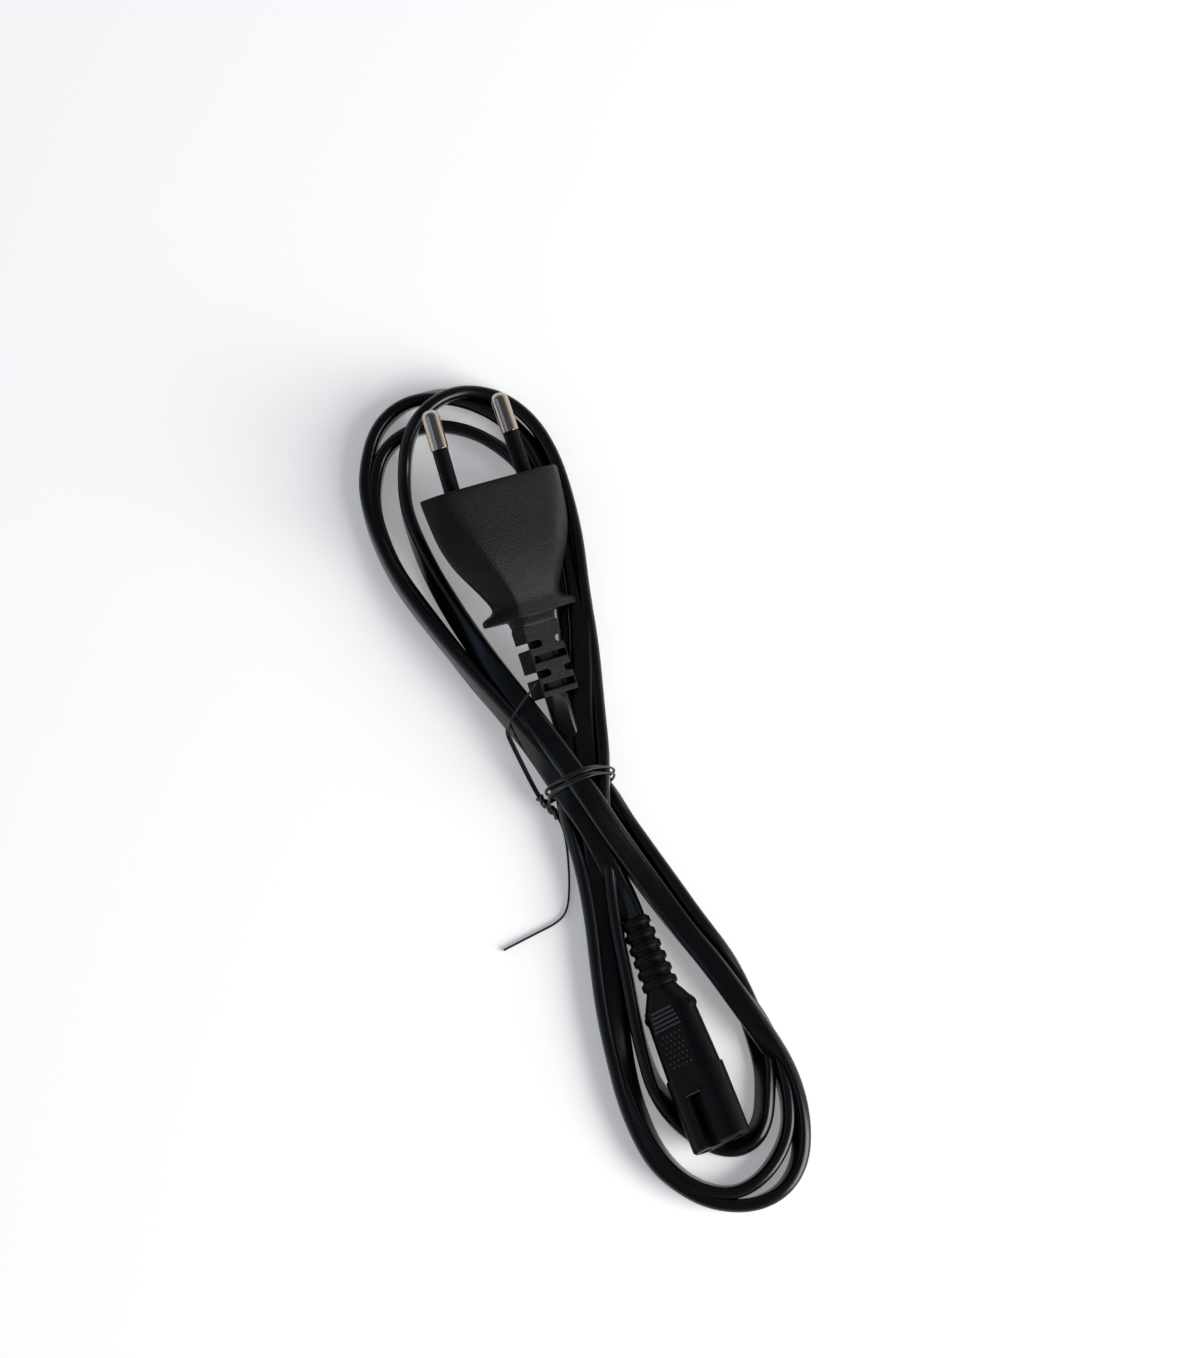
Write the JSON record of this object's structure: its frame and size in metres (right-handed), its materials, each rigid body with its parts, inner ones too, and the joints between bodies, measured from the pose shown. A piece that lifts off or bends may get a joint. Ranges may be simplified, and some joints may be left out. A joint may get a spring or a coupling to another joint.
{
  "type": "figure eight power connector",
  "caption": "Figure-eight mains connector moulded on a flat twin cord, tied in a hank, with a flat two-pin plug on the far end.",
  "frame": {"origin": "on the floor below the middle of the connector", "axes": "+Y along the connector from its mouth to its tail, +Z up, +X to the right seen from above with +Y up"},
  "size_m": [0.0512, 0.1994, 0.0249],
  "materials": {
    "connector_pvc": "satin moulded",
    "plug_pvc": "fine grain",
    "insert_plastic": "smooth",
    "contact_brass": "satin",
    "pin_nickel": "bright nickel",
    "sleeve_plastic": "satin",
    "core_blue": "smooth",
    "core_brown": "smooth",
    "cord_pvc": "semi-gloss",
    "tie_plastic": "satin"
  },
  "bodies": {
    "root": {"connector_body": "connector_pvc", "contact_carrier": "insert_plastic", "contact_left": "contact_brass", "contact_right": "contact_brass", "connector_core_left": "core_blue", "connector_core_right": "core_brown", "plug_body": "plug_pvc", "pin_bridge": "insert_plastic", "plug_pin_left": "pin_nickel", "plug_pin_right": "pin_nickel", "pin_sleeve_left": "sleeve_plastic", "pin_sleeve_right": "sleeve_plastic", "plug_core_left": "core_blue", "plug_core_right": "core_brown", "cord_hank": "cord_pvc", "cord_lead_connector": "cord_pvc", "cord_lead_plug": "cord_pvc", "twist_tie": "tie_plastic"}
  },
  "joints": []
}
